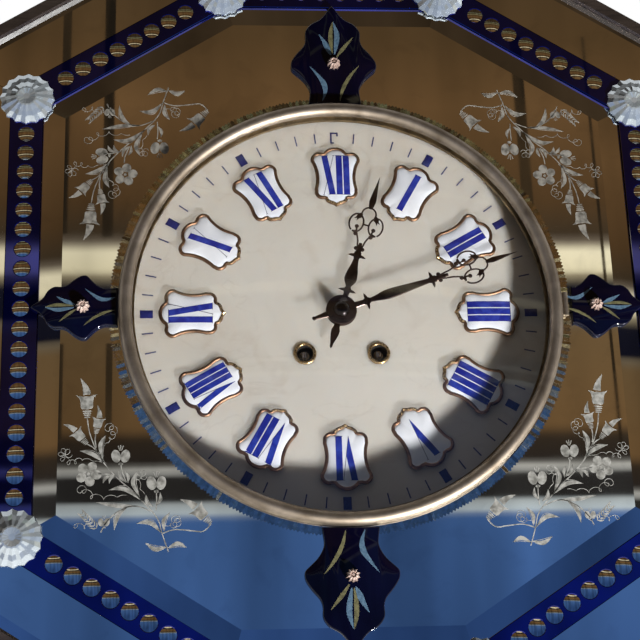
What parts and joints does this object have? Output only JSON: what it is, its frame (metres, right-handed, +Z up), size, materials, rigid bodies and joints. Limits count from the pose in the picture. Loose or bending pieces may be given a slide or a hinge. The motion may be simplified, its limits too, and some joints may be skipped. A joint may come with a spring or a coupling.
{
  "type": "mirror wall clock",
  "caption": "Octagonal mirror wall clock with an alabaster dial, enamel numerals, a hinged glazed bezel and a striking pendulum movement in a box behind.",
  "frame": {"origin": "centre of the hanging hole, on the wall plane at the back of the case", "axes": "+Z up, +Y to the wall, +X to the right as seen from the front; the dial faces -Y"},
  "size_m": [0.545, 0.1312, 0.597],
  "materials": {
    "wood": "dark stained, satin",
    "mirror": "silvered glass, ground bevels",
    "cobalt_glass": "cased cobalt glass, polished",
    "cut_glass": "clear cut glass, facetted",
    "rose_glass": "pink facetted glass",
    "alabaster": "honed alabaster",
    "gilt_frame": "aged gilt",
    "enamel": "white enamel",
    "brass": "lacquered",
    "nickel": "nickel plated, polished",
    "steel": "blackened steel",
    "spring_steel": "bare steel",
    "bell_metal": "turned bell metal",
    "clear_glass": "clear domed glass"
  },
  "bodies": {
    "case": {"front_board": "wood", "edge_moulding": "wood", "box_sides": "wood", "back_frame": "wood", "door_hinge_plates": "brass", "hanger_plate": "brass", "case_screws": "spring_steel", "mirror_panel": "mirror", "cobalt_strips": "cobalt_glass", "outer_mirror_strips": "mirror", "vertex_rosettes": "cut_glass", "leaf_ornaments": "cobalt_glass", "leaf_studs": "rose_glass", "dial_plate": "alabaster", "cartouche_frames": "gilt_frame", "enamel_plaques": "enamel", "winding_eyelets": "brass", "bezel_hinge_plate": "nickel", "front_plate": "brass", "back_plate": "brass", "plate_pillars": "brass", "movement_straps": "brass", "bell": "bell_metal", "bell_stand": "spring_steel", "suspension_block": "brass", "suspension_spring": "spring_steel"},
    "door": {"rear_door": "wood", "door_hinge_leaves": "brass"},
    "turn_button": {"door_button": "brass"},
    "bezel": {"bezel_ring": "nickel", "sight_ring": "brass", "bezel_glass": "clear_glass"},
    "minute_work": {"minute_hand": "steel", "hand_nut": "steel", "cannon_pinion": "spring_steel", "centre_wheel": "brass"},
    "hour_work": {"hour_hand": "steel", "hour_wheel": "brass"},
    "minute_wheel": {"minute_wheel": "brass"},
    "going_barrel": {"going_barrel": "brass"},
    "going_winder": {"going_arbor": "spring_steel"},
    "going_click": {"going_click": "spring_steel"},
    "intermediate": {"intermediate_wheel": "brass"},
    "third": {"third_wheel": "brass"},
    "escape": {"escape_wheel": "brass"},
    "anchor": {"anchor": "spring_steel"},
    "pendulum": {"pendulum_rod": "spring_steel", "pendulum_bob": "brass"},
    "strike_barrel": {"strike_barrel": "brass"},
    "strike_winder": {"strike_arbor": "spring_steel"},
    "strike_click": {"strike_click": "spring_steel"},
    "strike_wheel": {"strike_wheel": "brass"},
    "pin_wheel": {"pin_wheel": "brass"},
    "fly": {"fly": "brass"},
    "hammer": {"hammer": "spring_steel"}
  },
  "joints": [
    {"name": "bezel_hinge", "type": "hinge", "parent": "case", "child": "bezel", "pos_m": [0.151, -0.121, -0.202], "axis": [0, 0, 1], "range_deg": [0, 110]},
    {"name": "rear_door_hinge", "type": "hinge", "parent": "case", "child": "door", "pos_m": [0.1, -0.002, -0.202], "axis": [0, 0, -1], "range_deg": [0, 90]},
    {"name": "turn_button_pivot", "type": "hinge", "parent": "case", "child": "turn_button", "pos_m": [-0.108, -0.001, -0.202], "axis": [0, 1, 0], "range_deg": [0, 90]},
    {"name": "minute_turn", "type": "hinge", "parent": "case", "child": "minute_work", "pos_m": [0, -0.06, -0.202], "axis": [0, 1, 0], "continuous": true},
    {"name": "hour_turn", "type": "hinge", "parent": "case", "child": "hour_work", "pos_m": [0, -0.06, -0.202], "axis": [0, 1, 0], "continuous": true},
    {"name": "minute_wheel_turn", "type": "hinge", "parent": "case", "child": "minute_wheel", "pos_m": [0.01353, -0.06, -0.19708], "axis": [0, 1, 0], "continuous": true},
    {"name": "intermediate_turn", "type": "hinge", "parent": "case", "child": "intermediate", "pos_m": [0.02386, -0.06, -0.20461], "axis": [0, 1, 0], "continuous": true},
    {"name": "going_barrel_turn", "type": "hinge", "parent": "case", "child": "going_barrel", "pos_m": [0.025, -0.06, -0.2305], "axis": [0, 1, 0], "continuous": true},
    {"name": "third_turn", "type": "hinge", "parent": "case", "child": "third", "pos_m": [0.0115, -0.06, -0.18208], "axis": [0, 1, 0], "continuous": true},
    {"name": "escape_turn", "type": "hinge", "parent": "case", "child": "escape", "pos_m": [0, -0.06, -0.16734], "axis": [0, 1, 0], "continuous": true},
    {"name": "going_winding", "type": "hinge", "parent": "case", "child": "going_winder", "pos_m": [0.025, -0.06, -0.2305], "axis": [0, 1, 0], "continuous": true},
    {"name": "going_click_pivot", "type": "hinge", "parent": "case", "child": "going_click", "pos_m": [0.03572, -0.06, -0.2395], "axis": [0, 1, 0], "range_deg": [0, 12]},
    {"name": "pendulum_swing", "type": "hinge", "parent": "case", "child": "pendulum", "pos_m": [0, -0.06, -0.14914], "axis": [0, 1, 0], "range_deg": [-3.5, 3.5]},
    {"name": "anchor_rock", "type": "hinge", "parent": "case", "child": "anchor", "pos_m": [0, -0.06, -0.14914], "axis": [0, 1, 0], "range_deg": [-3.5, 3.5]},
    {"name": "strike_barrel_turn", "type": "hinge", "parent": "case", "child": "strike_barrel", "pos_m": [-0.025, -0.06, -0.2305], "axis": [0, 1, 0], "continuous": true},
    {"name": "strike_wheel_turn", "type": "hinge", "parent": "case", "child": "strike_wheel", "pos_m": [-0.02386, -0.06, -0.20461], "axis": [0, 1, 0], "continuous": true},
    {"name": "pin_wheel_turn", "type": "hinge", "parent": "case", "child": "pin_wheel", "pos_m": [-0.03207, -0.06, -0.18205], "axis": [0, 1, 0], "continuous": true},
    {"name": "fly_turn", "type": "hinge", "parent": "case", "child": "fly", "pos_m": [-0.01997, -0.06, -0.17116], "axis": [0, 1, 0], "continuous": true},
    {"name": "strike_winding", "type": "hinge", "parent": "case", "child": "strike_winder", "pos_m": [-0.025, -0.06, -0.2305], "axis": [0, 1, 0], "continuous": true},
    {"name": "strike_click_pivot", "type": "hinge", "parent": "case", "child": "strike_click", "pos_m": [-0.03572, -0.06, -0.2395], "axis": [0, -1, 0], "range_deg": [0, 12]},
    {"name": "hammer_lift", "type": "hinge", "parent": "case", "child": "hammer", "pos_m": [-0.046, -0.06, -0.214], "axis": [0, -1, 0], "range_deg": [0, 15]}
  ],
  "couplings": [
    {"joint": "hour_turn", "follows": "minute_turn", "ratio": 0.083333},
    {"joint": "minute_wheel_turn", "follows": "minute_turn", "ratio": -0.33333},
    {"joint": "intermediate_turn", "follows": "minute_turn", "ratio": -0.14286},
    {"joint": "going_barrel_turn", "follows": "minute_turn", "ratio": 0.017857},
    {"joint": "third_turn", "follows": "minute_turn", "ratio": -10.5},
    {"joint": "escape_turn", "follows": "minute_turn", "ratio": 117},
    {"joint": "anchor_rock", "follows": "pendulum_swing", "ratio": 1},
    {"joint": "strike_wheel_turn", "follows": "strike_barrel_turn", "ratio": -8},
    {"joint": "pin_wheel_turn", "follows": "strike_barrel_turn", "ratio": 56},
    {"joint": "fly_turn", "follows": "strike_barrel_turn", "ratio": -462}
  ]
}
